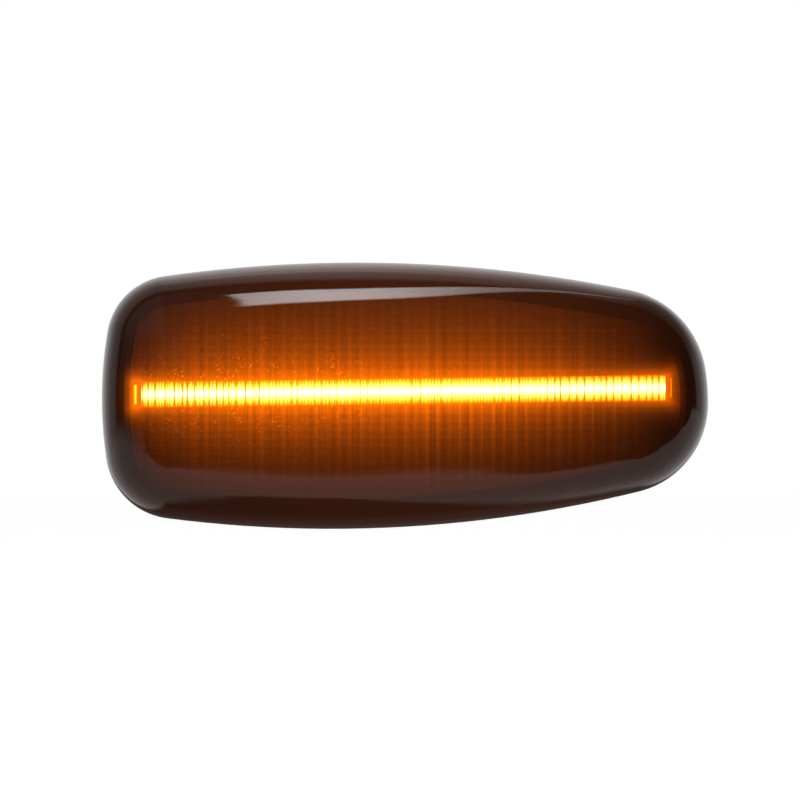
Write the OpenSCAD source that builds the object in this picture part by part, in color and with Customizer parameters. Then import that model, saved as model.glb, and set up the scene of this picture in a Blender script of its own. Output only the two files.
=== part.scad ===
// Side repeater lamp that hooks and snaps into an opening of a car's front wing.
// X runs along the lamp, Z is up and the lens faces -Y. The origin is the middle of the
// outline, on the outer face of the wing panel. A depth is a distance in front of that
// plane, a reach is a distance behind it, and an inset is a distance in from the outline.

/* [Outline] */
// Length of the outer lens
lamp_l = 118; // [115:0.5:123]
// Height of the outer lens
lamp_h = 51.84; // [50:0.02:54]
// Radius of the long top edge
crown_r = 266; // [256:1:290]
// Highest point of the top edge, along the lamp
crown_x = -9.4; // [-11:0.1:-8]
// Radius of the long bottom edge
belly_r = 250; // [240:1:270]
// Lowest point of the bottom edge, along the lamp
belly_x = -14.3; // [-16:0.1:-13]
// Radius of the blunt end
end_r = 79; // [72:1:88]
// Middle of the blunt end, above the centre
end_z = -0.6; // [-1.2:0.1:0.2]
// Radius of the slim end
tip_r = 40; // [37:1:44]
// Middle of the slim end, above the centre
tip_z = -1.2; // [-1.8:0.1:-0.4]
// Corner radius from the top edge to the blunt end
crown_end_r = 13; // [13:0.1:14.5]
// Corner radius from the blunt end to the bottom edge
end_belly_r = 13.7; // [13:0.1:15]
// Rise of the slim end's arc from its middle to the corner above
tip_up = 6.44; // [5:0.02:8]
// Fall of the slim end's arc from its middle to the corner below
tip_down = 0.52; // [0.3:0.02:2]

/* [Outer lens] */
// Depth of the lens at its highest point
lens_depth = 17.2; // [16.8:0.1:18.5]
// Wall thickness of the lens
lens_wall = 2; // [1.8:0.05:2.2]
// Gap between the lens rim and the wing panel
rim_gap = 0.8; // [0.6:0.05:1]
// Inset over which the wall turns into the face
shoulder_in = 10.5; // [9.5:0.1:11]
// Rise of the face from its shoulder to its middle
crown_rise = 1; // [0.6:0.1:1.4]
// Width of the inner ledge that seats on the base
ledge_w = 0.6; // [0.5:0.05:0.7]
// Radius of the bow that the face follows along the lamp
bow_r = 1000; // [900:10:1500]

/* [Inner lens] */
// Inset of the fluted inner lens
inner_in = 6.05; // [6:0.05:6.6]
// Thickness of the inner lens over its flutes
inner_t = 1.9; // [1.5:0.05:2]
// Spacing of the vertical flutes
flute_pitch = 2.12; // [1.8:0.02:2.6]
// Height of a flute
flute_h = 0.45; // [0.3:0.05:0.6]

/* [Bezel] */
// Inset of the bezel's wall
bezel_in = 4.8; // [4.8:0.05:5]
// Depth of the seat that carries the inner lens
seat_depth = 10.1; // [9.9:0.05:10.2]
// Width of that seat
seat_w = 2.4; // [2:0.1:3]
// Depth of the ridged field in front of the wing panel
field_depth = 8.5; // [8.3:0.05:8.6]
// Thickness of the bezel's plate
plate_t = 1.3; // [1.2:0.05:1.4]
// Thickness of the bezel's wall
bezel_wall = 1.2; // [1:0.1:1.4]
// Height of the lip around the inner lens
lip_h = 0.5; // [0.3:0.1:0.6]
// Spacing of the level ridges on the field
ridge_pitch = 1.6; // [1.4:0.1:2]
// Height of a ridge
ridge_h = 0.25; // [0.15:0.05:0.35]
// Width of the bevel along the slot
bevel_w = 1.6; // [1:0.1:2]
// Depth of the bevel
bevel_t = 0.9; // [0.6:0.05:1]

/* [Light bar] */
// Room between each end of the light bar and the bezel's wall
bar_room = 0.75; // [0.6:0.05:2]
// Height of the light bar's nose
bar_h = 4.6; // [4.2:0.1:5]
// Height of the light bar's flange
bar_flange_h = 6.6; // [6.2:0.1:7]
// Depth of the light bar's back
bar_back = 5.9; // [5.8:0.05:6.2]
// Slope of the light bar, up towards the slim end
bar_tilt = 0.72; // [0:0.02:1]
// Height of the light bar's middle above the centre of the outline
bar_rise = 0.88; // [0.6:0.02:1]
// Length of the foot under each end of the bar
foot_l = 1.4; // [1.2:0.1:1.6]

/* [Circuit board] */
// Inset of the board
board_in = 6.6; // [6.5:0.1:7]
// Thickness of the board
board_t = 1; // [0.8:0.1:1.1]
// Number of light emitting diodes
led_n = 24; // [20:1:24]
// Room between the row of diodes and the feet of the light bar
led_room = 0.45; // [0.3:0.05:1]
// Gap between two diodes
led_gap = 0.7; // [0.5:0.05:1.2]
// Width of a diode
led_w = 2.8; // [2.4:0.1:3]
// Height of a diode
led_h = 0.8; // [0.6:0.05:0.8]
// Number of series resistors
resistor_n = 6; // [4:1:6]
// Spacing of the resistors
resistor_pitch = 4.6; // [4.2:0.1:5]
// Diameter of the board screws
screw_d = 2; // [1.8:0.1:2.2]
// Length of the board screws under the head
screw_l = 6; // [5:0.5:7]

/* [Base housing] */
// Thickness of the flange inside the lens wall
flange_t = 2; // [1.8:0.05:2.2]
// Thickness of the gasket, from the flange to the wing panel
gasket_t = 1.6; // [1.4:0.05:1.8]
// Inset of the tub that passes through the wing panel
tub_in = 9; // [8.9:0.1:9.3]
// Wall thickness of the tub
tub_wall = 1.6; // [1.3:0.1:1.7]
// Reach of the tub behind the wing panel
tub_reach = 8.6; // [8.2:0.1:10]
// Size of the soft edge around the tub's back
tub_edge = 1.4; // [1:0.1:1.6]
// Inset of the opening in the wing panel
opening_in = 7; // [6.9:0.05:7.1]
// Thickness of the wing panel behind the gasket
panel_t = 0.9; // [0.7:0.1:1.1]
// Width of the hook at the blunt end
hook_w = 12; // [9:0.5:15]
// Thickness of the hook
hook_t = 2; // [1.6:0.1:2.4]
// Room between the hook and the gasket's inner edge
hook_room = 0.45; // [0.35:0.05:0.6]
// Grip of the spring tongue's catch behind the panel
catch_grip = 0.9; // [0.7:0.05:0.95]
// Width of the spring tongue at the slim end
tongue_w = 8; // [7:0.5:8.5]
// Thickness of the spring tongue
tongue_t = 0.9; // [0.8:0.05:0.95]
// Outside diameter of the bosses for the board screws
boss_d = 5; // [4.6:0.1:5.2]
// Spacing of the three ribs that centre the tub in the opening
rib_pitch = 30; // [20:1:32]
// Width of a rib
rib_w = 1.4; // [1:0.1:2]

/* [Gasket] */
// Inset of the gasket's outer edge
gasket_in = 3.2; // [3.1:0.1:3.6]
// Width of the gasket
gasket_w = 2.1; // [1.8:0.05:2.3]

/* [Connector] */
// Middle of the connector along the lamp
conn_x = -16; // [-20:0.5:-14]
// Width of the connector's shroud
conn_w = 17; // [16:0.5:19]
// Height of the connector's shroud
conn_h = 11.4; // [10.5:0.1:13]
// Reach of the shroud behind the wing panel
conn_reach = 19.6; // [17:0.1:22]
// Wall thickness of the shroud
conn_wall = 1.4; // [1.2:0.1:1.5]
// Spacing of the two blades
blade_pitch = 6.4; // [6.2:0.1:7]
// Thickness of a blade
blade_t = 0.8; // [0.6:0.1:0.8]
// Width of a blade
blade_w = 2.8; // [2.4:0.1:3]
// Room between the blade tips and the mouth of the shroud
blade_room = 2.4; // [1.5:0.1:3.5]

/* [Fits] */
// Clearance around a piece that drops into its seat
fit = 0.15; // [0.1:0.01:0.2]
// Clearance of a blade in its slot
blade_fit = 0.05; // [0.03:0.01:0.08]
// Clearance of the inner lens over its curved seat
seat_fit = 0.02; // [0.01:0.01:0.05]

/* [Hidden] */
arc_steps = 10;
shoulder_steps = 10;
face_scales = [0.78, 0.54, 0.3, 0.08];
round_fn = 40;
bow_steps = 24;
beyond = 1;
sunk = 0.01;
flange_depth = gasket_t + flange_t;
flange_in = lens_wall + fit;
cavity_in = tub_in + tub_wall;
floor_reach = tub_reach - tub_wall;
plate_back = field_depth - plate_t;
inner_depth = seat_depth + inner_t;
bar_l = lamp_l - 2 * (bezel_in + bezel_wall + bar_room);
led_pitch = (bar_l - 2 * (foot_l + led_room)) / led_n;
led_l = led_pitch - led_gap;
board_depth = flange_depth + board_t;
led_depth = board_depth + led_h;
panel_room = 0.5;
catch_reach = panel_t + panel_room;
hook_in = gasket_in + gasket_w + hook_room;
hook_nose = 1;
flute_steps = 4;
led_names = [for (i = [1 : led_n]) str(i < 10 ? "led_0" : "led_", i)];
resistor_names = [for (i = [1 : resistor_n]) str("resistor_", i)];

// Centre of the blend circle of radius r that lies inside both side circles
function blend_centre(a, b, r, away) =
    let (d = b[0] - a[0], l = norm(d), e = d / l, p = a[1] - r, q = b[1] - r,
         u = (p * p - q * q + l * l) / (2 * l), h = sqrt(max(p * p - u * u, 0)),
         side = h * [-e.y, e.x], mid = a[0] + u * e)
    side * away > 0 ? mid + side : mid - side;
// The blend circle that leaves circle a at a height over its middle and touches circle b inside
function blend_from(a, b, rise) =
    let (out = [sqrt(1 - pow(rise / a[1], 2)), rise / a[1]], p = a[0] + a[1] * out, d = p - b[0],
         r = (b[1] * b[1] - d * d) / (2 * (b[1] - out * d)))
    [p - r * out, r];
function heading(from, to) = atan2(to.y - from.y, to.x - from.x);
function arc(circle, from, to) =
    let (a = heading(circle[0], from), b = heading(to[0], to[1]))
    [circle[0], circle[1], a, b < a ? b + 360 : b];

sides = [
    [[lamp_l / 2 - tip_r, tip_z], tip_r],
    [[crown_x, lamp_h / 2 - crown_r], crown_r],
    [[end_r - lamp_l / 2, end_z], end_r],
    [[belly_x, belly_r - lamp_h / 2], belly_r]];
corners = [
    blend_from(sides[0], sides[1], tip_up),
    [blend_centre(sides[1], sides[2], crown_end_r, [-1, 1]), crown_end_r],
    [blend_centre(sides[2], sides[3], end_belly_r, [-1, -1]), end_belly_r],
    blend_from(sides[0], sides[3], -tip_down)];
arcs = [for (k = [0 : 3], j = [0, 1])
    j == 0 ? arc(sides[k], corners[(k + 3) % 4][0], [sides[k][0], corners[k][0]])
           : arc(corners[k], corners[k][0] * 2 - sides[k][0],
                 [sides[(k + 1) % 4][0], corners[k][0]])];

// The outline moved in by an inset, as points round the lamp from the slim end
rim_n = len(arcs) * arc_steps;
function rim_point(i, inset) =
    let (a = arcs[floor(i / arc_steps)], t = a[2] + (a[3] - a[2]) * (i % arc_steps) / arc_steps)
    a[0] + (a[1] - inset) * [cos(t), sin(t)];
function outline(inset) = [for (i = [0 : rim_n - 1]) rim_point(i, inset)];

// How far a face that follows the bow falls back at x
function bow(x) = bow_r - sqrt(bow_r * bow_r - x * x);

// Section of the lens from the rim to the shoulder, as inset and depth
spine_x = (lamp_l - lamp_h) / 2;
draft = 0.5;
wall_rise = 9;
shoulder_run = 8;
function spine(p) = [max(-spine_x, min(spine_x, p.x)), 0];
function section_ends(reach) =
    let (p = [shoulder_in, lens_depth - crown_rise], slope = 2 * crown_rise / reach)
    [[0, rim_gap], [draft, wall_rise], p - shoulder_run * [1, slope], p];
function section(c, t) =
    pow(1 - t, 3) * c[0] + 3 * t * pow(1 - t, 2) * c[1] + 3 * t * t * (1 - t) * c[2] + pow(t, 3) * c[3];
function section_in(c, t) =
    let (d = pow(1 - t, 2) * (c[1] - c[0]) + 2 * t * (1 - t) * (c[2] - c[1]) + t * t * (c[3] - c[2]),
         p = section(c, t) + lens_wall * [d.y, -d.x] / norm(d))
    [max(p.x, lens_wall + ledge_w), p.y];

// One ring of the lens: each outline point moved in and forward, and bowed by its depth
function lens_point(p, depth, share) = [p.x, bow(p.x) * share - depth, p.y];
function bow_share(depth) = (depth - rim_gap) / (lens_depth - rim_gap);
function reaches() = [for (p = outline(shoulder_in)) norm(p - spine(p))];
function wall_ring(t, inside) =
    let (r = reaches())
    [for (i = [0 : rim_n - 1])
        let (c = section_ends(r[i]), o = section(c, t), q = inside ? section_in(c, t) : o)
        lens_point(rim_point(i, q.x), q.y, bow_share(o.y))];
function face_ring(s, inside) =
    let (r = reaches(), top = lens_depth - (inside ? lens_wall : 0),
         share = bow_share(lens_depth - crown_rise * s * s))
    [for (i = [0 : rim_n - 1])
        let (c = section_ends(r[i]), q = inside ? section_in(c, 1) : section(c, 1),
             p = rim_point(i, q.x), m = spine(p))
        lens_point(m + s * (p - m), top - (top - q.y) * s * s, share)];
function flat_ring(inset, depth) = [for (p = outline(inset)) lens_point(p, depth, 0)];
function strip(a, b) = [for (i = [0 : rim_n - 1])
    let (j = (i + 1) % rim_n)
    each [[a + i, a + j, b + j], [a + i, b + j, b + i]]];
// Closes a ring with triangles between its top and its bottom, from the slim end on
function lid(a, flip) = [for (i = [0 : rim_n / 2 - 1])
    let (start = arc_steps / 2 + rim_n, p = a + (start + i) % rim_n, q = a + (start + i + 1) % rim_n,
         j = a + (start - i) % rim_n, k = a + (start - i - 1) % rim_n,
         tri = concat(i > 0 ? [[j, k, p]] : [], i < rim_n / 2 - 1 ? [[k, q, p]] : []))
    each flip ? [for (f = tri) [f[2], f[1], f[0]]] : tri];

// A stack of the outline at given insets and reaches, closed at both ends
module loft(rows) {
    points = [for (r = rows, p = outline(r[0])) [p.x, r[1], p.y]];
    faces = concat(
        [[for (i = [rim_n - 1 : -1 : 0]) i]],
        [for (k = [0 : len(rows) - 2], i = [0 : rim_n - 1])
            let (j = (i + 1) % rim_n, a = k * rim_n, b = a + rim_n) [a + i, a + j, b + j, b + i]],
        [[for (i = [0 : rim_n - 1]) (len(rows) - 1) * rim_n + i]]);
    polyhedron(points, faces, convexity = 4);
}
module slab(front, back) {
    translate([0, back, 0]) rotate([90, 0, 0]) linear_extrude(back - front, convexity = 6) children();
}
module band(outer, inner) {
    difference() { polygon(outline(outer)); polygon(outline(inner)); }
}
// A block given by its middle in x and z, its size in x and z, and its two ends in y
module block(x, z, w, h, front, back) {
    translate([x - w / 2, front, z - h / 2]) cube([w, back - front, h]);
}
module rod(x, z, d, front, back) {
    translate([x, back, z]) rotate([90, 0, 0]) cylinder(d = d, h = back - front, $fn = round_fn);
}
module tilted() { translate([0, 0, bar_rise]) rotate([0, -bar_tilt, 0]) children(); }
// All that lies behind a face that follows the bow at a depth
module bowed_front(depth) {
    front = [for (k = [0 : bow_steps])
        let (x = lamp_l * (k / bow_steps - 0.5)) [x, bow(x) - depth]];
    translate([0, 0, -lamp_h / 2]) linear_extrude(lamp_h)
        polygon(concat(front, [[lamp_l / 2, 0], [-lamp_l / 2, 0]]));
}

module outer_lens() {
    outer = concat([for (s = [len(face_scales) - 1 : -1 : 0]) face_ring(face_scales[s], false)],
                   [for (k = [shoulder_steps : -1 : 0]) wall_ring(k / shoulder_steps, false)]);
    inner = concat([flat_ring(lens_wall, rim_gap), flat_ring(lens_wall, flange_depth),
                    flat_ring(lens_wall + ledge_w, flange_depth)],
                   [for (k = [2 : shoulder_steps]) wall_ring(k / shoulder_steps, true)],
                   [for (s = face_scales) face_ring(s, true)]);
    rings = concat(outer, inner);
    faces = concat(lid(0, false),
                   [for (k = [0 : len(rings) - 2]) each strip(k * rim_n, (k + 1) * rim_n)],
                   lid((len(rings) - 1) * rim_n, true));
    color([0.24, 0.13, 0.1, 0.6])
        polyhedron([for (r = rings) each r], faces, convexity = 6);
}

module inner_lens() {
    half_l = lamp_l / 2 - inner_in;
    flutes = ceil(half_l / flute_pitch + 0.5);
    front = [for (j = [-flutes : flutes], k = [0 : flute_steps - 1])
        let (u = k / flute_steps - 0.5, x = (j + u) * flute_pitch)
        [x, bow(x) - inner_depth + flute_h * 4 * u * u]];
    back = [for (j = [flutes : -1 : -flutes])
        let (x = (j - (j < flutes ? 0 : 1 / flute_steps)) * flute_pitch) [x, bow(x) - seat_depth - seat_fit]];
    color([0.75, 0.45, 0.2, 0.5]) intersection() {
        slab(-inner_depth - beyond, 0) polygon(outline(inner_in));
        translate([0, 0, -lamp_h / 2]) linear_extrude(lamp_h) polygon(concat(front, back));
    }
}

module bezel() {
    ridges = ceil(lamp_h / ridge_pitch / 2);
    ridged = [for (j = [-ridges : ridges], k = [0, 1])
        [k * ridge_h - field_depth, (j + k / 2) * ridge_pitch]];
    box_h = bar_flange_h + 2 * fit;
    root = plate_back + plate_t / 2;
    color([0.1, 0.08, 0.07]) difference() {
        union() {
            intersection() {
                slab(-field_depth - beyond, -plate_back) polygon(outline(bezel_in + bezel_wall / 2));
                translate([-lamp_l / 2, 0, 0]) rotate([90, 0, 90]) linear_extrude(lamp_l)
                    polygon(concat(ridged, [[-plate_back, lamp_h], [-plate_back, -lamp_h]]));
            }
            slab(ridge_h - field_depth, -flange_depth) band(bezel_in, bezel_in + bezel_wall);
            bowed_rim(seat_depth, root, bezel_in + seat_w);
            bowed_rim(seat_depth + lip_h, root, inner_in - fit);
            intersection() {
                slab(-root, -board_depth) polygon(outline(bezel_in + bezel_wall / 2));
                tilted() for (s = [-1, 1])
                    block(0, s * (box_h + bezel_wall) / 2, lamp_l, bezel_wall, -root - beyond, 0);
            }
        }
        tilted() slot();
    }
}
// A rim of the bezel whose front follows the bow
module bowed_rim(depth, root, inner) {
    intersection() {
        slab(-depth - beyond, -root) band(bezel_in, inner);
        bowed_front(depth);
    }
}
// The slot for the light bar and its bevelled sides, as one long cut
module slot() {
    top = seat_depth + beyond;
    low = field_depth - bevel_t;
    half = bar_h / 2 + fit;
    spread = half + bevel_w * (top - low) / bevel_t;
    translate([-bar_l / 2 - fit, 0, 0]) rotate([90, 0, 90]) linear_extrude(bar_l + 2 * fit)
        polygon([[-top, -spread], [-low, -half], [0, -half], [0, half], [-low, half], [-top, spread]]);
}

module light_bar() {
    color([1, 0.72, 0.2]) {
        bar_block(bar_h, seat_depth - 2 * fit);
        tilted() block(0, 0, bar_l, bar_flange_h, fit - plate_back, -bar_back);
        tilted() for (s = [-1, 1])
            block(s * (bar_l - foot_l) / 2, 0, foot_l, bar_flange_h, -bar_back, -board_depth);
    }
}
module bar_block(height, depth) {
    intersection() {
        tilted() block(0, 0, bar_l, height, -depth - beyond, -bar_back);
        bowed_front(depth);
    }
}

// Places of the screws, the blades and the parts soldered on the back of the board
screw_places = [[-40, 9], [34, -7.4]];
blade_x = [conn_x - blade_pitch / 2, conn_x + blade_pitch / 2];
tail_z = 7;
tail_w = 1.6;
ic_place = [7, 7];
diode_place = [-31, -7];
capacitor_place = [23, 5.5];
resistor_place = [-2, -7];

module led_board() {
    color([0.9, 0.9, 0.86]) difference() {
        slab(-board_depth, -flange_depth) polygon(outline(board_in));
        for (p = screw_places) rod(p.x, p.y, screw_d + 2 * fit, -board_depth - beyond, 0);
        for (x = blade_x)
            block(x, tail_z, blade_t + 2 * fit, tail_w + 2 * fit, -board_depth - beyond, 0);
    }
}
module led(i) {
    x = (i - (led_n + 1) / 2) * led_pitch;
    cup_wall = 0.3;
    dish_d = led_w - 2 * cup_wall;
    dish_t = led_h / 4;
    color([0.95, 0.85, 0.5]) tilted() difference() {
        block(x, 0, led_l, led_w, -led_depth, -board_depth);
        rod(x, 0, dish_d, -led_depth - beyond, -led_depth + dish_t);
    }
}
module resistor(i) {
    x = resistor_place.x + (i - 1) * resistor_pitch;
    body = [3.2, 1.6];
    cap_l = 0.5;
    film_t = 0.5;
    cap_t = 0.6;
    color([0.12, 0.12, 0.13]) union() {
        block(x, resistor_place.y, body.x - cap_l, body.y, -flange_depth, film_t - flange_depth);
        for (s = [-1, 1])
            block(x + s * (body.x - cap_l) / 2, resistor_place.y, cap_l, body.y,
                  -flange_depth, cap_t - flange_depth);
    }
}
module driver_ic() {
    body = [4.9, 3.9];
    body_t = 1.4;
    stand = 0.15;
    leg_pitch = 1.27;
    leg_w = 0.42;
    leg_t = 0.25;
    foot = 1;
    lap = 0.2;
    color([0.13, 0.13, 0.14]) union() {
        block(ic_place.x, ic_place.y, body.x, body.y, stand - flange_depth, stand + body_t - flange_depth);
        for (k = [-1.5 : 1.5], s = [-1, 1]) {
            x = ic_place.x + k * leg_pitch;
            z = ic_place.y + s * body.y / 2;
            block(x, z + s * foot / 4, leg_w, foot / 2 + lap, body_t / 2 - flange_depth,
                  body_t / 2 + leg_t - flange_depth);
            block(x, z + s * foot / 2, leg_w, leg_t, -flange_depth, body_t / 2 + leg_t - flange_depth);
            block(x, z + s * foot * 0.8, leg_w, foot * 0.7, -flange_depth, leg_t - flange_depth);
        }
    }
}
module polarity_diode() {
    body = [4.3, 2.6];
    body_t = 2.1;
    tab = [0.5, 1.4];
    color([0.14, 0.14, 0.15]) union() {
        block(diode_place.x, diode_place.y, body.x, body.y, -flange_depth, body_t - flange_depth);
        for (s = [-1, 1])
            block(diode_place.x + s * (body.x + tab.x) / 2, diode_place.y, tab.x, tab.y,
                  -flange_depth, body_t / 2 - flange_depth);
    }
}
module capacitor() {
    can_d = 6.3;
    can_h = 5.4;
    base_w = 6.6;
    base_t = 1;
    color([0.75, 0.76, 0.78]) union() {
        block(capacitor_place.x, capacitor_place.y, base_w, base_w, -flange_depth, base_t - flange_depth);
        rod(capacitor_place.x, capacitor_place.y, can_d, -flange_depth, can_h - flange_depth);
    }
}
module board_screws() {
    head_d = 1.9 * screw_d;
    head_h = 0.65 * screw_d;
    socket_d = 0.9 * screw_d;
    color([0.72, 0.73, 0.75]) for (p = screw_places) difference() {
        union() {
            rod(p.x, p.y, head_d, -board_depth - head_h, -board_depth);
            rod(p.x, p.y, screw_d, -board_depth - head_h / 2, screw_l - board_depth);
        }
        for (a = [0, 90]) translate([p.x, 0, p.y]) rotate([0, a, 0])
            block(0, 0, socket_d, 0.3 * screw_d, -board_depth - head_h - beyond, -board_depth - head_h / 2);
    }
}
// A stamped blade: a tail through the board, a jog, a shoulder on the tub's floor and the blade
module blade(x) {
    tip = conn_reach - blade_room;
    chamfer = blade_w / 4;
    ear = 0.9;
    shoulder_w = blade_w + 2 * ear;
    shoulder_t = 1.4;
    jog_room = 2.2;
    jog_front = jog_room - flange_depth;
    solder_h = 0.8;
    tail_end = -board_depth - solder_h;
    translate([x - blade_t / 2, 0, 0]) rotate([90, 0, 90]) linear_extrude(blade_t)
        polygon([
            [tip, -blade_w / 2 + chamfer], [tip, blade_w / 2 - chamfer],
            [tip - 2 * chamfer, blade_w / 2], [floor_reach, blade_w / 2],
            [floor_reach, shoulder_w / 2], [floor_reach - shoulder_t, shoulder_w / 2],
            [jog_front + blade_w, tail_z + tail_w / 2], [tail_end, tail_z + tail_w / 2],
            [tail_end, tail_z - tail_w / 2], [jog_front, tail_z - tail_w / 2],
            [floor_reach - shoulder_t - blade_w, -blade_w / 4], [floor_reach - shoulder_t, -shoulder_w / 2],
            [floor_reach, -shoulder_w / 2], [floor_reach, -blade_w / 2],
            [tip - 2 * chamfer, -blade_w / 2]]);
}
module terminal_feed() { color([0.85, 0.8, 0.62]) blade(blade_x[0]); }
module terminal_ground() { color([0.85, 0.8, 0.62]) blade(blade_x[1]); }

module seal_bead() {
    color([0.2, 0.2, 0.2]) slab(-gasket_t, -rim_gap) band(lens_wall, gasket_in - 2 * fit);
}
module gasket() {
    color([0.16, 0.16, 0.16]) slab(-gasket_t, 0) band(gasket_in, gasket_in + gasket_w);
}

// A rounded rectangle, worked out as one outline
function rounded(w, h, r, n = 6) = [for (q = [0 : 3], k = [0 : n])
    let (a = 90 * (q + k / n), c = [q == 0 || q == 3 ? 1 : -1, q < 2 ? 1 : -1])
    [c.x * (w / 2 - r), c.y * (h / 2 - r)] + r * [cos(a), sin(a)]];

module base_housing() {
    edge_in = tub_in + tub_edge;
    bore_room = 1;
    boss_bore = screw_l - board_t + bore_room;
    locator_h = 0.8;
    locator_w = 1;
    color([0.07, 0.07, 0.075]) difference() {
        union() {
            difference() {
                union() {
                    slab(-flange_depth, -gasket_t) polygon(outline(flange_in));
                    slab(-gasket_t, tub_reach - tub_edge) polygon(outline(tub_in));
                    loft([for (a = [0 : 30 : 90])
                        [edge_in - tub_edge * cos(a), tub_reach - tub_edge * (1 - sin(a))]]);
                    centring_ribs();
                }
                slab(-flange_depth - beyond, floor_reach) polygon(outline(cavity_in));
            }
            slab(-flange_depth - locator_h, -flange_depth)
                band(bezel_in - fit - locator_w, bezel_in - fit);
            for (p = screw_places) rod(p.x, p.y, boss_d, -flange_depth, floor_reach);
            hook();
            tongue();
            connector();
        }
        for (p = screw_places)
            rod(p.x, p.y, screw_d + 2 * blade_fit, -flange_depth - beyond, boss_bore - flange_depth);
        for (x = blade_x)
            block(x, 0, blade_t + 2 * blade_fit, blade_w + 2 * blade_fit, 0, tub_reach + sunk);
    }
}
module centring_ribs() {
    intersection() {
        slab(-gasket_t, tub_reach - 2 * tub_edge) polygon(outline(opening_in + 2 * fit));
        for (k = [-1 : 1]) block(k * rib_pitch, 0, rib_w, lamp_h, -gasket_t, tub_reach);
    }
}
// The fixed hook that reaches behind the panel at the blunt end
module hook() {
    root = -lamp_l / 2 + tub_in + tub_wall / 2;
    nose = -lamp_l / 2 + hook_in;
    brace = 3;
    brace_in = 1.5;
    translate([0, 0, end_z - hook_w / 2]) linear_extrude(hook_w)
        polygon([[root, catch_reach], [nose, catch_reach], [nose, catch_reach + hook_t - hook_nose],
                 [nose + hook_nose, catch_reach + hook_t], [root - brace_in, catch_reach + hook_t],
                 [root, catch_reach + hook_t + brace]]);
}
// The spring tongue at the slim end: it leaves the tub at the back and runs forward
module tongue() {
    root = lamp_l / 2 - tub_in - tub_wall / 2;
    outer = lamp_l / 2 - opening_in - fit;
    back = tub_reach - tub_edge;
    ramp = 4.2;
    flat = 0.6;
    tip = 0.3;
    bend_t = 1.4 * tongue_t;
    translate([0, 0, tip_z - tongue_w / 2]) linear_extrude(tongue_w)
        polygon([[root, back], [outer, back], [outer, catch_reach + ramp],
                 [outer + catch_grip, catch_reach + flat], [outer + catch_grip, catch_reach],
                 [outer, catch_reach], [outer, tip], [outer - tongue_t, tip],
                 [outer - tongue_t, back - bend_t], [root, back - bend_t]]);
}
// The two-pin inlet on the back, with a ramp for the plug's latch and two keys
module connector() {
    mouth_w = conn_w - 2 * conn_wall;
    mouth_h = conn_h - 2 * conn_wall;
    corner = 2;
    latch_w = 5;
    latch_h = 1.2;
    latch_room = 3.4;
    latch_start = tub_reach + latch_room;
    latch_flat = 0.6;
    lead_in = 1;
    latch_end = conn_reach - 2 * lead_in;
    key = 0.9;
    top = conn_h / 2 - sunk;
    translate([conn_x, 0, 0]) {
        slab(tub_reach - sunk, conn_reach) difference() {
            polygon(rounded(conn_w, conn_h, corner));
            polygon(rounded(mouth_w, mouth_h, corner - conn_wall / 2));
        }
        translate([-latch_w / 2, 0, 0]) rotate([90, 0, 90]) linear_extrude(latch_w)
            polygon([[latch_start, top], [latch_end, top], [latch_start + latch_flat, top + latch_h],
                     [latch_start, top + latch_h]]);
        for (s = [-1, 1])
            block(s * mouth_w / 4, (key - mouth_h) / 2 - sunk, key, key, tub_reach - sunk,
                  conn_reach - lead_in);
    }
}

outer_lens();
inner_lens();
bezel();
light_bar();
led_board();
for (i = [1 : led_n]) led(i);
for (i = [1 : resistor_n]) resistor(i);
driver_ic();
polarity_diode();
capacitor();
board_screws();
terminal_feed();
terminal_ground();
seal_bead();
gasket();
base_housing();
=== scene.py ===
"""Looks of the side repeater lamp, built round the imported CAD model."""
import math

import bpy
import numpy as np
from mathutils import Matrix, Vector


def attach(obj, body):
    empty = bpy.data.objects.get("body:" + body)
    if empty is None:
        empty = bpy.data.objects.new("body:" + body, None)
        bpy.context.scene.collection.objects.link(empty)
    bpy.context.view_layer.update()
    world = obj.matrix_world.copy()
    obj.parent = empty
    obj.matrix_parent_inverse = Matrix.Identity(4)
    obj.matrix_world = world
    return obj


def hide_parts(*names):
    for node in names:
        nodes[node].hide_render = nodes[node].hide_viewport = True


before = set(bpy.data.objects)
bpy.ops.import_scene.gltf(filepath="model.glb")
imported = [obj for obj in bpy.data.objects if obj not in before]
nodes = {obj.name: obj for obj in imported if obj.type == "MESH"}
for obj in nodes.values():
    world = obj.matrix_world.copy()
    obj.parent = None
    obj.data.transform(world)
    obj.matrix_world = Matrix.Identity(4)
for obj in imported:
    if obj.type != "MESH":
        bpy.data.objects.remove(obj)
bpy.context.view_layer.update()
MM = 0.001

# Sizes, in mm, as in the part's source
LAMP_L, LAMP_H = 118.0, 51.84
CROWN_R, CROWN_X, BELLY_R, BELLY_X = 266.0, -9.4, 250.0, -14.3
END_R, END_Z, TIP_R, TIP_Z = 79.0, -0.6, 40.0, -1.2
CROWN_END_R, END_BELLY_R, TIP_UP, TIP_DOWN = 13.0, 13.7, 6.44, 0.52
LENS_DEPTH, LENS_WALL, RIM_GAP, SHOULDER_IN, CROWN_RISE, LEDGE_W = 17.2, 2.0, 0.8, 10.5, 1.0, 0.6
BOW_R, DRAFT, WALL_RISE, SHOULDER_RUN = 1000.0, 0.5, 9.0, 8.0
FLANGE_DEPTH, SEAT_DEPTH, FLUTE_PITCH = 3.6, 10.1, 2.12
SPINE_X = (LAMP_L - LAMP_H) / 2
BAR_TILT = math.radians(0.72)
BAR_H, BAR_RISE = 4.6, 0.88

# Rows of the lens's mesh: a step count for each arc and the wall, and shares of the way to the face's rim
ARC_STEPS, WALL_STEPS = 24, 22
FACE_SHARES = [0.9, 0.78, 0.66, 0.54, 0.42, 0.3, 0.2, 0.12, 0.06]
INSIDE_FROM = 0.2


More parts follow.
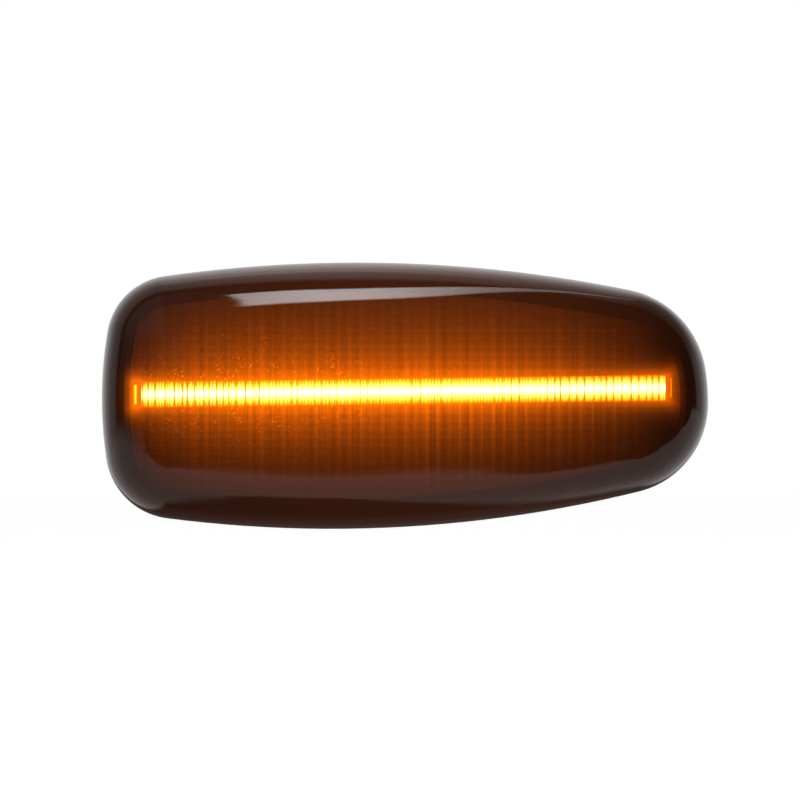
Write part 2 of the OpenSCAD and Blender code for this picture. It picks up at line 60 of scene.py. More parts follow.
# Outline of the lamp
def blend_centre(a, b, r, away):
    (ax, az), ra = a
    (bx, bz), rb = b
    dx, dz = bx - ax, bz - az
    l = math.hypot(dx, dz)
    ex, ez = dx / l, dz / l
    p, q = ra - r, rb - r
    u = (p * p - q * q + l * l) / (2 * l)
    h = math.sqrt(max(p * p - u * u, 0))
    mx, mz, sx, sz = ax + u * ex, az + u * ez, -h * ez, h * ex
    return (mx + sx, mz + sz) if sx * away[0] + sz * away[1] > 0 else (mx - sx, mz - sz)


def blend_from(a, b, rise):
    (ax, az), ra = a
    (bx, bz), rb = b
    ox, oz = math.sqrt(1 - (rise / ra) ** 2), rise / ra
    px, pz = ax + ra * ox, az + ra * oz
    dx, dz = px - bx, pz - bz
    r = (rb * rb - dx * dx - dz * dz) / (2 * (rb - ox * dx - oz * dz))
    return (px - r * ox, pz - r * oz), r


def outline_arcs():
    sides = [((LAMP_L / 2 - TIP_R, TIP_Z), TIP_R), ((CROWN_X, LAMP_H / 2 - CROWN_R), CROWN_R),
             ((END_R - LAMP_L / 2, END_Z), END_R), ((BELLY_X, BELLY_R - LAMP_H / 2), BELLY_R)]
    corners = [blend_from(sides[0], sides[1], TIP_UP),
               (blend_centre(sides[1], sides[2], CROWN_END_R, (-1, 1)), CROWN_END_R),
               (blend_centre(sides[2], sides[3], END_BELLY_R, (-1, -1)), END_BELLY_R),
               blend_from(sides[0], sides[3], -TIP_DOWN)]

    def heading(p, q):
        return math.atan2(q[1] - p[1], q[0] - p[0])

    arcs = []
    for k in range(4):
        side, corner, nxt = sides[k], corners[k], sides[(k + 1) % 4]
        before = corners[(k + 3) % 4]
        for centre, radius, t0, t1 in (
                (side[0], side[1], heading(side[0], before[0]), heading(side[0], corner[0])),
                (corner[0], corner[1], heading(side[0], corner[0]), heading(nxt[0], corner[0]))):
            arcs.append((centre, radius, t0, t1 + 2 * math.pi if t1 < t0 else t1))
    return arcs


ARCS = outline_arcs()


def outline(steps):
    """Centre, radius and direction of each outline point, so that a point moves in by any inset."""
    rows = []
    for (c, r, t0, t1) in ARCS:
        for k in range(steps):
            t = t0 + (t1 - t0) * k / steps
            rows.append((c[0], c[1], r, math.cos(t), math.sin(t)))
    return np.array(rows)


def inset_points(rows, inset):
    inset = np.broadcast_to(inset, len(rows))
    reach = rows[:, 2] - inset
    return np.stack([rows[:, 0] + reach * rows[:, 3], rows[:, 1] + reach * rows[:, 4]], 1)


def bow(x):
    return BOW_R - np.sqrt(BOW_R * BOW_R - np.asarray(x) ** 2)


def spine(p):
    return np.stack([np.clip(p[:, 0], -SPINE_X, SPINE_X), np.zeros(len(p))], 1)


def bow_share(depth):
    return (depth - RIM_GAP) / (LENS_DEPTH - RIM_GAP)


def lens_points(p, depth, share):
    return np.stack([p[:, 0], bow(p[:, 0]) * share - depth, p[:, 1]], 1)


def section(rows, t):
    """Inset and depth of the outer section, and the offset inner one, at t round the lamp."""
    reach = np.linalg.norm(inset_points(rows, SHOULDER_IN) - spine(inset_points(rows, SHOULDER_IN)), axis=1)
    end = np.broadcast_to([SHOULDER_IN, LENS_DEPTH - CROWN_RISE], (len(rows), 2))
    slope = 2 * CROWN_RISE / reach
    c0 = np.broadcast_to([0, RIM_GAP], (len(rows), 2))
    c1 = np.broadcast_to([DRAFT, WALL_RISE], (len(rows), 2))
    c2 = end - SHOULDER_RUN * np.stack([np.ones(len(rows)), slope], 1)
    p = (1 - t) ** 3 * c0 + 3 * t * (1 - t) ** 2 * c1 + 3 * t * t * (1 - t) * c2 + t ** 3 * end
    d = (1 - t) ** 2 * (c1 - c0) + 2 * t * (1 - t) * (c2 - c1) + t * t * (end - c2)
    n = np.stack([d[:, 1], -d[:, 0]], 1) / np.linalg.norm(d, axis=1)[:, None]
    q = p + LENS_WALL * n
    q[:, 0] = np.maximum(q[:, 0], LENS_WALL + LEDGE_W)
    return p, q


def wall_ring(rows, t, inside):
    p, q = section(rows, t)
    use = q if inside else p
    return lens_points(inset_points(rows, use[:, 0]), use[:, 1], bow_share(p[:, 1]))


def face_ring(rows, s, inside):
    p, q = section(rows, 1.0)
    use = q if inside else p
    top = LENS_DEPTH - (LENS_WALL if inside else 0)
    at = inset_points(rows, use[:, 0])
    mid = spine(at)
    depth = top - (top - use[:, 1]) * s * s
    return lens_points(mid + s * (at - mid), depth, bow_share(LENS_DEPTH - CROWN_RISE * s * s))


def flat_ring(rows, inset, depth):
    return lens_points(inset_points(rows, inset), depth, 0)


# Meshes
def mesh_piece(name, verts, faces, material_index):
    me = bpy.data.meshes.new(name)
    me.from_pydata((np.asarray(verts) * MM).tolist(), [], faces)
    me.validate()
    me.polygons.foreach_set("use_smooth", [True] * len(me.polygons))
    me.polygons.foreach_set("material_index", material_index)
    ob = bpy.data.objects.new(name, me)
    bpy.context.scene.collection.objects.link(ob)
    return ob


def ring_faces(a, b, n):
    return [[b + i, b + (i + 1) % n, a + (i + 1) % n, a + i] for i in range(n)]


def make_lens():
    rows = outline(ARC_STEPS)
    n = len(rows)
    rings = [face_ring(rows, s, False) for s in reversed(FACE_SHARES)]
    rings += [wall_ring(rows, k / WALL_STEPS, False) for k in range(WALL_STEPS, -1, -1)]
    rim_at = len(rings)
    rings += [flat_ring(rows, LENS_WALL, RIM_GAP), flat_ring(rows, LENS_WALL, FLANGE_DEPTH),
              flat_ring(rows, LENS_WALL + LEDGE_W, FLANGE_DEPTH)]
    dark_to = len(rings)
    inside = [INSIDE_FROM + (1 - INSIDE_FROM) * k / WALL_STEPS for k in range(WALL_STEPS + 1)]
    rings += [wall_ring(rows, t, True) for t in inside]
    rings += [face_ring(rows, s, True) for s in FACE_SHARES]
    verts = np.concatenate(rings)
    faces, index = [], []
    for k in range(len(rings) - 1):
        faces += ring_faces(k * n, (k + 1) * n, n)
        index += [1 if rim_at - 1 <= k < dark_to else 0] * n
    start = ARC_STEPS // 2
    for base, flip in ((0, False), ((len(rings) - 1) * n, True)):
        for i in range(n // 2):
            quad = [base + (start - i) % n, base + (start - i - 1) % n,
                    base + (start + i + 1) % n, base + (start + i) % n]
            quad = list(dict.fromkeys(quad))
            if len(quad) > 2:
                faces.append(quad if flip else quad[::-1])
                index.append(0)
    return mesh_piece("outer_lens_shell", verts, faces, index)


# Numbers and shaders in a node tree
class Num:
    """A number in a shader tree that adds, multiplies and compares as plain numbers do."""

    def __init__(self, tree, socket):
        self.tree, self.socket = tree, socket

    def __add__(self, v):
        return calc(self.tree, "ADD", self, v)

    def __sub__(self, v):
        return calc(self.tree, "SUBTRACT", self, v)

    def __rsub__(self, v):
        return calc(self.tree, "SUBTRACT", v, self)

    def __mul__(self, v):
        return calc(self.tree, "MULTIPLY", self, v)

    def __truediv__(self, v):
        return calc(self.tree, "DIVIDE", self, v)

    def __pow__(self, v):
        return calc(self.tree, "POWER", self, v)

    def __neg__(self):
        return calc(self.tree, "MULTIPLY", self, -1.0)

    def __abs__(self):
        return calc(self.tree, "ABSOLUTE", self)

    __radd__, __rmul__ = __add__, __mul__


def calc(tree, kind, *values):
    n = tree.nodes.new("ShaderNodeMath")
    n.operation = kind
    for socket, v in zip(n.inputs, values):
        plug(tree, v, socket)
    return Num(tree, n.outputs[0])


def plug(tree, v, socket):
    if isinstance(v, Num):
        tree.links.new(v.socket, socket)
    elif isinstance(v, bpy.types.NodeSocket):
        tree.links.new(v, socket)
    elif isinstance(v, tuple) and len(v) == 3:
        socket.default_value = (*v, 1.0)
    else:
        socket.default_value = v


def exp(v):
    return calc(v.tree, "EXPONENT", v)


def larger(v, w):
    return calc(v.tree, "MAXIMUM", v, w)


def smaller(v, w):
    return calc(v.tree, "MINIMUM", v, w)


def wave(v, length):
    """1 at every whole number of lengths and 0 half way between."""
    return calc(v.tree, "COSINE", v * (2 * math.pi / length)) * 0.5 + 0.5


def smooth(v, low, high):
    """A soft step from 0 at low to 1 at high."""
    n = v.tree.nodes.new("ShaderNodeMapRange")
    n.interpolation_type = "SMOOTHSTEP"
    for socket, value in zip(n.inputs, (v, low, high)):
        plug(v.tree, value, socket)
    return Num(v.tree, n.outputs["Result"])


def window(v, low, high, soft):
    return smooth(v, low - soft, low + soft) * (1.0 - smooth(v, high - soft, high + soft))


def texture(tree, kind, settings, output, **inputs):
    n = tree.nodes.new("ShaderNodeTex" + kind)
    for k, v in settings.items():
        setattr(n, k, v)
    for k, v in inputs.items():
        plug(tree, v, n.inputs[k])
    return Num(tree, n.outputs[output])


def noise(tree, vector, scale, detail=3.0, rough=0.55):
    return texture(tree, "Noise", {}, "Fac", Vector=vector, Scale=scale, Detail=detail, Roughness=rough)


def lines(v, length, detail=2.0):
    """Uneven lines across v, from 0 to 1."""
    return texture(v.tree, "Noise", {"noise_dimensions": "1D"}, "Fac", W=v, Scale=1 / length,
                   Detail=detail, Roughness=0.65)


def columns(v, length):
    """Columns of uneven width across v: the distance to a column's edge, as a share of the length."""
    return texture(v.tree, "Voronoi", {"voronoi_dimensions": "1D", "feature": "DISTANCE_TO_EDGE"},
                   "Distance", W=v, Scale=1 / length)


def shader(tree, kind, **inputs):
    n = tree.nodes.new("ShaderNode" + kind)
    for k, v in inputs.items():
        plug(tree, v, n.inputs[k.replace("_", " ")])
    return n.outputs[0]


def mixed(tree, share, a, b):
    n = tree.nodes.new("ShaderNodeMixShader")
    for socket, v in zip(n.inputs, (share, a, b)):
        plug(tree, v, socket)
    return n.outputs[0]


def added(tree, a, b):
    n = tree.nodes.new("ShaderNodeAddShader")
    for socket, v in zip(n.inputs, (a, b)):
        plug(tree, v, socket)
    return n.outputs[0]


def ramp(v, stops):
    n = v.tree.nodes.new("ShaderNodeValToRGB")
    marks = n.color_ramp.elements
    while len(marks) < len(stops):
        marks.new(0.5)
    for mark, (at, colour) in zip(marks, stops):
        mark.position, mark.color = at, (*colour, 1)
    plug(v.tree, v, n.inputs[0])
    return n.outputs["Color"]


def curve(v, stops):
    """A number that follows straight lines between its stops."""
    return Num(v.tree, ramp(v, [(at, (level,) * 3) for at, level in stops]))


def bump(height, strength, distance):
    return shader(height.tree, "Bump", Strength=strength, Distance=distance, Height=height)


def parts_of(tree, vector):
    """The three numbers of a vector."""
    n = tree.nodes.new("ShaderNodeSeparateXYZ")
    tree.links.new(vector, n.inputs[0])
    return [Num(tree, s) for s in n.outputs]


def position(tree):
    """The position on the object, as a vector in metres."""
    return tree.nodes.new("ShaderNodeTexCoord").outputs["Object"]


def where(tree):
    """The position on the object, as three numbers in mm."""
    return [v / MM for v in parts_of(tree, position(tree))]


def outward(tree):
    """1 on the side of a face that looks out of the solid, and 0 on its other side."""
    return 1.0 - Num(tree, tree.nodes.new("ShaderNodeNewGeometry").outputs["Backfacing"])


def light_path(tree, ray):
    return Num(tree, tree.nodes.new("ShaderNodeLightPath").outputs[ray])


def finished(name, build):
    """A material whose surface is what build returns for its node tree."""
    m = bpy.data.materials.new(name)
    m.use_nodes = True
    tree = m.node_tree
    tree.nodes.clear()
    out = tree.nodes.new("ShaderNodeOutputMaterial")
    tree.links.new(build(tree), out.inputs["Surface"])
    return m


# Where the bar's light is: mm from the lamp's middle, and widths in mm
LIT, LIT_SOFT = (-50.86, 50.17), 0.1
LEFT_SLIVER, RIGHT_SLIVER, SLIVER_TOP = (-52.25, -51.78, 0.08), (51.18, 51.45, 0.06), (0.7, 0.9)
HALO_LEFT, HALO_RIGHT, HALO_FADE = -51.8, 50.7, 1.05
GLOW_MIDDLE, GLOW_LEFT, GLOW_RIGHT = -8.0, 50.0, 59.0
GLOW_FROM, GLOW_FALL, EXTRA_FALL_ABOVE, NEAR_FALL = 3.1, 5.0, 0.8, 6.0
GLOW_DEPTH = SEAT_DEPTH + 0.6
INNER_EDGE = (49.0, 52.8)
LOW_SEAM, HIGH_SEAM, SEAM_SOFT = (-10.43, -10.27), (12.32, 12.48), 0.1
RIDGE_PITCH = 1.6
BAND_W, CUT_W, STREAK_W = 2.2, 1.5, 0.45
COLUMN_W, FINE_W, RIM_W, PATCH_W, FINE_SHIFT = 1.45, 0.62, 0.7, 4.5, 300.0
SHELL_GLOW_REACH = 58.0

# How strong the light is
GLOW, BAR_POWER, LEFT_SLIVER_POWER, RIGHT_SLIVER_POWER, GAP_DEPTH = 1.85, 52.0, 16.0, 3.0, 3.4
SHELL_GLOW, SHELL_GLOW_ABOVE, SHELL_GLOW_BELOW = 0.014, 0.036, 0.014
HALO, HALO_MORE_LEFT, HALO_MORE_RIGHT = 0.42, 0.4, 0.55
SHELL_HALO, BEZEL_HALO_LEFT, BEZEL_HALO_RIGHT = 0.33, 2.8, 1.5

# Colours and gloss
AMBER = (1.0, 0.215, 0.001)
BROWN = (1.0, 0.23, 0.06)
SLIVER_YELLOW = (1.0, 0.36, 0.012)
INNER_TINT = (0.8, 0.72, 0.66)
SMOKE_TINTS = [(0.0, (0.68, 0.585, 0.55)), (0.3, (0.6, 0.48, 0.43)), (0.6, (0.36, 0.24, 0.2)),
               (1.0, (0.1, 0.06, 0.05))]
BAR_COLOURS = [(0.0, (1.0, 0.54, 0.20)), (0.25, (1.0, 0.52, 0.17)), (0.42, (1.0, 0.49, 0.13)),
               (0.6, (1.0, 0.47, 0.065)), (0.76, (1.0, 0.46, 0.04)), (0.93, (1.0, 0.42, 0.008)),
               (1.0, (1.0, 0.28, 0.003))]
BAR_LEVELS = [(0.0, 1.0), (0.25, 0.74), (0.42, 0.52), (0.6, 0.33), (0.76, 0.24), (0.93, 0.17), (1.0, 0.12)]
LENS_IOR, SHELL_ROUGH, INNER_ROUGH = 1.49, 0.035, 0.15


def moulded(t, dark, light, rough, metal=0.0, scale=900.0, depth=0.00004, specular=0.5, spread=0.12):
    """A moulded, cast or rolled surface: fine grain, slight colour change and uneven gloss."""
    place = position(t)
    broad = noise(t, place, scale / 14, 2.0)
    return shader(t, "BsdfPrincipled", Metallic=metal, Specular_IOR_Level=specular,
                  Base_Color=ramp(broad, [(0.3, dark), (0.7, light)]),
                  Roughness=broad * spread + (rough - spread / 2),
                  Normal=bump(noise(t, place, scale, 4.0, 0.6), 0.35, depth))


def grained(name, *look, **more):
    return finished(name, lambda t: moulded(t, *look, **more))


def over_bar(x, z):
    """Height over the light bar's sloping middle line."""
    return z - (x * math.tan(BAR_TILT) + BAR_RISE)


def bar_halo(x, z):
    """Light close round the lit part of the bar: 1 at its edge, fading away from it."""
    along = larger(larger(x - HALO_RIGHT, HALO_LEFT - x), 0.0)
    across = larger(abs(over_bar(x, z)) - BAR_H / 2, 0.0)
    return exp(calc(x.tree, "SQRT", along * along + across * across) / -HALO_FADE)


def plastic(t, colour, rough, normal=None):
    """Thin clear plastic: tinted, with a gloss that grows towards its edges."""
    clear = shader(t, "BsdfTransparent", Color=colour)
    gloss = shader(t, "BsdfGlossy", Roughness=rough, Color=(1.0, 1.0, 1.0),
                   **({"Normal": normal} if normal else {}))
    share = Num(t, shader(t, "Fresnel", IOR=LENS_IOR)) * outward(t)
    return mixed(t, share, clear, gloss)


def smoked_lens(t):
    """The smoke-tinted shell, with a faint painted glow that stands for the bar's light scattered in it."""
    x, y, z = where(t)
    edge = Num(t, t.nodes.new("ShaderNodeLayerWeight").outputs["Facing"])
    ripple = bump(noise(t, position(t), 60.0, 2.0), 0.05, 0.0002)
    glass = plastic(t, ramp(edge, SMOKE_TINTS), SHELL_ROUGH, ripple)
    # painted light: a brown glow on the shell's outward faces, stronger above and below the bar and weaker
    # towards the ends, and an amber halo past the bar's left end
    above_and_below = smooth(z, 4.0, 20.0) * SHELL_GLOW_ABOVE + smooth(-z, 6.0, 20.0) * SHELL_GLOW_BELOW
    shell_glow = SHELL_GLOW + above_and_below * (1.0 - (x / SHELL_GLOW_REACH) ** 2.0)
    halo = bar_halo(x, z) * smooth(-x, 50.0, 53.5) * SHELL_HALO
    out = outward(t)
    light = added(t, shader(t, "Emission", Color=BROWN, Strength=shell_glow * out),
                  shader(t, "Emission", Color=AMBER, Strength=halo * out))
    return added(t, glass, light)


def bezel(t):
    """Dark moulded bezel, with the bar's light painted on as a glow where it shows past the inner lens's
    ends.
    """
    x, y, z = where(t)
    dark = moulded(t, (0.018, 0.014, 0.012), (0.03, 0.022, 0.018), 0.32, scale=1400.0)
    # painted light: an amber glow round the bar, only where the bezel shows past the inner lens's ends
    past_ends = smooth(-x, *INNER_EDGE) * BEZEL_HALO_LEFT + smooth(x, *INNER_EDGE) * BEZEL_HALO_RIGHT
    return added(t, dark, shader(t, "Emission", Color=AMBER, Strength=bar_halo(x, z) * past_ends))


def glow_fade(x):
    """Strength of the painted glow along the lamp, 1 near the middle and 0 at the ends."""
    right = smaller(larger((x - GLOW_MIDDLE) / GLOW_RIGHT, 0.0), 1.0)
    left = smaller(larger((GLOW_MIDDLE - x) / GLOW_LEFT, 0.0), 1.0)
    return (1.0 - right ** 2.0) ** 1.3 * (1.0 - left ** 4.0) ** 2.0


def glow_texture(t, x, z, near):
    """The flutes, ridges, seams, streaks and sparkles that show in the painted glow, as changes in its
    strength.
    """
    place = position(t)
    below = smooth(-z, -1.0, 1.0)
    flutes = wave(x, FLUTE_PITCH)
    brightness = texture(t, "WhiteNoise", {"noise_dimensions": "1D"}, "Value",
                         W=calc(t, "FLOOR", x / FLUTE_PITCH + 0.5))
    low_right = 0.3 + below * smooth(x, -20.0, 15.0) * 0.7
    ribs = flutes ** 5.0 * (0.06 + brightness * 0.40) * low_right
    bands = (lines(x, BAND_W, 0.0) - 0.5) * 0.3 + (flutes - 0.5) * 0.14
    ridges = wave(z, RIDGE_PITCH) * 0.11
    seams = window(z, *LOW_SEAM, SEAM_SOFT) + window(z, *HIGH_SEAM, SEAM_SOFT)
    seams = seams * smooth(x, -6.0, 10.0) * 0.3
    cuts = smooth(0.13 - columns(x, CUT_W), 0.0, 0.13) * below * -0.16
    streaks = (lines(x, STREAK_W) - 0.5) * (0.25 + near * 0.35)
    patches = smooth(noise(t, place, 420.0, 1.0), 0.44, 0.58)
    sparkles = smooth(noise(t, place, 2300.0, 1.0), 0.60, 0.76) * patches * (near * 2.2 + 0.15)
    sparkles = sparkles * (0.25 + smooth(-x, 5.0, 22.0) * 0.9)
    specks = (noise(t, place, 1500.0, 2.0) - 0.5) * 0.4
    return 0.80 + ribs + bands + ridges + seams + cuts + streaks + sparkles + specks


def inner_lens(t):
    """Clear fluted lens with the bar's light painted on it: a glow round the bar that fades away from it."""
    x, y, z = where(t)
    h = over_bar(x, z)
    away = abs(h) - GLOW_FROM
    fall = exp(-away / (GLOW_FALL + smooth(h, -1.0, 1.0) * EXTRA_FALL_ABOVE))
    near = exp(away / -NEAR_FALL)
    ends = smooth(-x, 40.0, 48.5) * HALO_MORE_LEFT + smooth(x, 34.0, 50.0) * HALO_MORE_RIGHT
    # painted light: emission on the lens's front faces, falling off away from the bar and towards the ends,
    # with a brighter halo next to the bar
    power = fall * glow_fade(x) * glow_texture(t, x, z, near) + bar_halo(x, z) * (HALO + ends)
    bowed = x * x * (0.5 / BOW_R)
    front = calc(t, "LESS_THAN", y - bowed, -GLOW_DEPTH)
    light = shader(t, "Emission", Color=AMBER, Strength=power * front * GLOW)
    return added(t, plastic(t, INNER_TINT, INNER_ROUGH), light)


def light_bar(t):
    """The lit bar: a white-hot middle, yellow edges, uneven columns and a thin sliver past each end."""
    x, y, z = where(t)
    h = abs(over_bar(x, z)) / (BAR_H / 2)
    rim = h + (lines(x, RIM_W) - 0.5) * 0.16
    ends = larger(smooth(-x, 20.0, 36.0), smooth(x, 18.0, 30.0) * 0.5)
    calm = 1.0 - smooth(x, 20.0, 36.0) * 0.6
    wide = 1.0 - smooth(columns(x, COLUMN_W) - h ** 4.0 * 0.10, 0.02, 0.13)
    fine = 1.0 - smooth(columns(x + FINE_SHIFT, FINE_W) - h ** 2.0 * 0.08, 0.0, 0.22)
    patches = smooth(lines(x, PATCH_W, 1.0), 0.40, 0.60)
    gap = larger(wide * (patches * (0.3 + h * 0.3) + ends * 0.7), fine * calm * (0.09 + h * 0.34))
    power = curve(rim, BAR_LEVELS) * exp(gap * -GAP_DEPTH) * BAR_POWER
    lit = window(x, *LIT, LIT_SOFT)
    slivers = window(x, *LEFT_SLIVER) * LEFT_SLIVER_POWER + window(x, *RIGHT_SLIVER) * RIGHT_SLIVER_POWER
    slivers = slivers * (1.0 - smooth(h, *SLIVER_TOP))
    spill = (1.0 - lit) * (0.3 + smooth(-x, 0.0, 10.0) * 0.5)
    bar = shader(t, "Emission", Color=ramp(rim, BAR_COLOURS), Strength=power * lit)
    thin = shader(t, "Emission", Color=SLIVER_YELLOW, Strength=slivers)
    between = shader(t, "Emission", Color=AMBER, Strength=spill + gap * lit * 1.3)
    return added(t, added(t, thin, bar), between)


MATERIALS = {
    "smoked_lens": finished("smoked_lens_clear", smoked_lens),
    "smoked_rim": grained("smoked_lens_rim", (0.012, 0.008, 0.007), (0.02, 0.013, 0.011), 0.18, scale=500.0),
    "clear_lens": finished("inner_lens_glow", inner_lens),
    "light_guide": finished("light_bar_lit", light_bar),
    "bezel_black": finished("bezel_grain_and_glow", bezel),
    "board_white": grained("board_mask", (0.74, 0.74, 0.70), (0.82, 0.82, 0.78), 0.35, scale=700.0),
    "led_body": grained("led_cap", (0.85, 0.62, 0.2), (0.95, 0.75, 0.3), 0.4, scale=2500.0),
    "resistor_body": grained("resistor_film", (0.02, 0.02, 0.022), (0.05, 0.05, 0.055), 0.3, scale=3000.0),
    "chip_black": grained("chip_resin", (0.016, 0.016, 0.017), (0.03, 0.03, 0.032), 0.5, scale=3000.0),
    "can_metal": grained("can_metal", (0.62, 0.63, 0.65), (0.75, 0.76, 0.78), 0.3, 1.0, scale=1500.0),
    "screw_steel": grained("screw_zinc", (0.55, 0.56, 0.58), (0.72, 0.73, 0.74), 0.32, 1.0, scale=2500.0),
    "tinned_brass": grained("tinned_blade", (0.66, 0.62, 0.52), (0.80, 0.77, 0.68), 0.28, 1.0, scale=2000.0),
    "sealant": grained("sealant", (0.03, 0.03, 0.03), (0.06, 0.06, 0.06), 0.5, scale=900.0, depth=0.0001),
    "foam": grained("gasket_foam", (0.022, 0.022, 0.023), (0.05, 0.05, 0.052), 0.9, scale=3200.0,
                    depth=0.00025, specular=0.2),
    "housing_black": grained("housing_abs", (0.014, 0.014, 0.015), (0.024, 0.024, 0.026), 0.42, scale=2200.0,
                             depth=0.00006),
}
NODE_SLOTS = {
    "outer_lens": "smoked_lens", "inner_lens": "clear_lens", "bezel": "bezel_black",
    "light_bar": "light_guide", "led_board": "board_white", "driver_ic": "chip_black",
    "polarity_diode": "chip_black", "capacitor": "can_metal", "board_screws": "screw_steel",
    "terminal_feed": "tinned_brass", "terminal_ground": "tinned_brass", "seal_bead": "sealant",
    "gasket": "foam", "base_housing": "housing_black",
}


def node_slot(name):
    if name in NODE_SLOTS:
        return NODE_SLOTS[name]
    return "led_body" if name.startswith("led_") else "resistor_body"


for name, ob in nodes.items():
    ob.data.materials.clear()
    ob.data.materials.append(MATERIALS[node_slot(name)])

# The outer lens, smooth
lens = make_lens()
lens.data.materials.append(MATERIALS["smoked_lens"])
lens.data.materials.append(MATERIALS["smoked_rim"])
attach(lens, "root")
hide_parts("outer_lens")

# Floor, lights, world and camera, in metres
FLOOR_HALF, FLOOR_Z = 3.0, -0.085
CAMERA_AT = (-0.97 * MM, -(0.865 + RIM_GAP * MM), -0.82 * MM)
CAMERA_LENS, CAMERA_SENSOR = 200.0, 36.0


def floor_white(t):
    """A white floor that glossy faces don't mirror, so that they show the studio round it."""
    paint = shader(t, "BsdfPrincipled", Base_Color=(0.9, 0.9, 0.9), Roughness=0.9)
    shine = shader(t, "Emission", Color=(1.0, 1.0, 1.0), Strength=light_path(t, "Is Camera Ray") * 0.5)
    unseen = shader(t, "BsdfTransparent", Color=(1.0, 1.0, 1.0))
    return mixed(t, light_path(t, "Is Glossy Ray"), added(t, paint, shine), unseen)


def make_floor():
    corners = [(-1, -1), (1, -1), (1, 1), (-1, 1)]
    me = bpy.data.meshes.new("floor")
    me.from_pydata([(x * FLOOR_HALF, y * FLOOR_HALF, FLOOR_Z) for x, y in corners], [], [(0, 1, 2, 3)])
    ob = bpy.data.objects.new("floor", me)
    bpy.context.scene.collection.objects.link(ob)
    me.materials.append(finished("floor_white", floor_white))


def area_light(name, centre, target, size_x, size_y, radiance):
    data = bpy.data.lights.new(name, "AREA")
    data.shape = "RECTANGLE"
    data.size, data.size_y = size_x, size_y
    data.energy = radiance * math.pi * size_x * size_y
    ob = bpy.data.objects.new(name, data)
    bpy.context.scene.collection.objects.link(ob)
    ob.location = centre
    ob.rotation_mode = "QUATERNION"
    ob.rotation_quaternion = (Vector(target) - Vector(centre)).to_track_quat("-Z", "Y")
    ob.visible_glossy = False


# The studio that gloss shows, by the three parts of a direction: levels, then places
WALL_LEVEL, WALL_RISE, CORNER_DIM, OVERHEAD_LEVEL = 0.30, 0.32, 0.7, 0.2
PANEL_LEVEL, SIDE_LEVEL, SOFTBOX_LEVEL, PATH_DIM, REST_LEVEL = 0.48, 0.18, 8.0, 0.93, 0.012
OVERHEAD_X, OVERHEAD_SPREAD = -0.05, 0.01
PANEL_DEEP, PANEL_LIFT, PANEL_SOFT = 0.25, 0.22, 0.08
PANEL_SIDES = [(0.0, 0.0), (0.04, 0.015), (0.09, 0.035), (0.18, 0.12), (0.3, 0.2), (0.66, 0.24),
               (0.92, 0.38), (1.0, 0.53)]
PATH_W, PATH_FROM, PATH_LENGTH, PATH_LEAN, PATH_X = 0.165, -0.63, 0.75, 0.08, -0.03
BOX_LEFT, BOX_LEAN, BOX_LEAN_FROM, BOX_END_SOFT = -0.171, 0.061, -0.24, 0.004
BOX_LOW, BOX_LOW_X, BOX_LOW_RISE = -0.785, -0.12, 34.0
BOX_HIGH, BOX_HIGH_X, BOX_HIGH_RISE = -0.37, -0.06, 12.5
BOX_X, BOX_SPREAD = -0.05, 0.029


def studio_walls(x, y, z):
    """Pale walls that rise towards the back, dim in the right corner and brighter overhead."""
    walls = smooth(y - larger(x, 0.0) * 0.15, 0.10, 0.30) * (WALL_LEVEL + smooth(y, 0.5, 1.0) * WALL_RISE)
    corner = smooth(x, 0.12, 0.32) * smooth(z, 0.15, 0.5)
    off = x - OVERHEAD_X
    overhead = exp(off * off / -OVERHEAD_SPREAD) * smooth(z, 0.3, 0.6) * smooth(y, 0.02, 0.22)
    return walls * (1.0 - corner * CORNER_DIM) + overhead * OVERHEAD_LEVEL


def studio_panel(x, y, z):
    """A low pale panel that reaches up at both sides."""
    top = PANEL_DEEP - smooth(abs(x), 0.2, 0.6) * PANEL_LIFT
    side = curve(x, PANEL_SIDES) * 2.0 - 1.0
    return smooth(-z - top, 0.0, PANEL_SOFT) * smooth(y - side, -0.02, 0.04) * PANEL_LEVEL


def dark_path(x, y, z):
    """A dark strip on the ground, wider further back."""
    width = PATH_W * calc(x.tree, "SQRT", larger(y - PATH_FROM, 0.0001) / PATH_LENGTH)
    middle = smaller(y, 0.0) * PATH_LEAN + PATH_X
    across = 1.0 - smooth(abs(x - middle) / width, 0.8, 1.25)
    return across * smooth(-z, 0.02, 0.15) * smooth(y, PATH_FROM, -0.5)


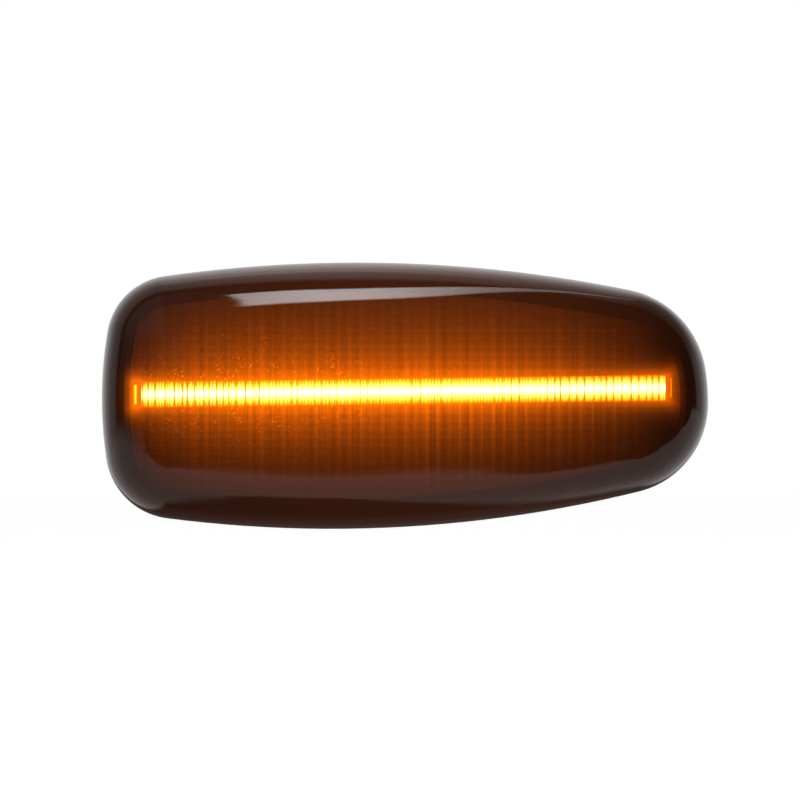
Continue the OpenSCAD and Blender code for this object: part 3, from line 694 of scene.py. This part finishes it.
def long_softbox(x, y, z):
    """A long lamp overhead with a slanted left end, thinning out to the right."""
    low_edge = larger(x - BOX_LOW_X, 0.0) ** 3.0 * BOX_LOW_RISE + BOX_LOW
    high_edge = larger(x - BOX_HIGH_X, 0.0) ** 2.0 * BOX_HIGH_RISE + BOX_HIGH
    box = smooth(y - low_edge, -0.02, 0.03) * (1.0 - smooth(y - high_edge, -0.03, 0.02))
    end = x - BOX_LEFT + (y - BOX_LEAN_FROM) * BOX_LEAN
    off = x - BOX_X
    box = box * smooth(end, -BOX_END_SOFT, BOX_END_SOFT) * smooth(z, 0.2, 0.3)
    return box * exp(off * off / -BOX_SPREAD)


def mirrored_studio(x, y, z):
    """What glossy faces mirror, by direction."""
    around = larger(studio_walls(x, y, z), studio_panel(x, y, z)) * (1.0 - dark_path(x, y, z) * PATH_DIM)
    side = smooth(-x, 0.08, 0.35) * smooth(z, -0.05, 0.25) * (1.0 - smooth(y, -0.1, 0.15)) * SIDE_LEVEL
    return around + side + long_softbox(x, y, z) * SOFTBOX_LEVEL + REST_LEVEL


def make_world():
    world = bpy.data.worlds.new("studio")
    bpy.context.scene.world = world
    world.use_nodes = True
    t = world.node_tree
    t.nodes.clear()
    x, y, z = parts_of(t, t.nodes.new("ShaderNodeTexCoord").outputs["Generated"])
    seen = larger(light_path(t, "Is Camera Ray"), light_path(t, "Is Transmission Ray"))
    gloss = light_path(t, "Is Glossy Ray")
    rest = (1.0 - larger(seen, gloss)) * 0.55
    strength = seen + gloss * mirrored_studio(x, y, z) + rest
    out = t.nodes.new("ShaderNodeOutputWorld")
    t.links.new(shader(t, "Background", Color=(1.0, 1.0, 1.0), Strength=strength), out.inputs["Surface"])


make_floor()
make_world()
area_light("softbox_top", (-0.10, -0.30, 0.66), (0.02, -0.01, 0.02), 0.50, 0.30, 7.0)
area_light("fill", (-0.5, -0.9, 0.5), (0, 0, 0), 0.6, 0.6, 1.2)

camera = bpy.data.cameras.new("camera")
camera.lens, camera.sensor_width = CAMERA_LENS, CAMERA_SENSOR
camera.clip_start, camera.clip_end = 0.01, 20.0
eye = bpy.data.objects.new("camera", camera)
bpy.context.scene.collection.objects.link(eye)
eye.location = CAMERA_AT
eye.rotation_euler = (math.pi / 2, 0, 0)
bpy.context.scene.camera = eye

bpy.context.scene.view_settings.view_transform = "Standard"
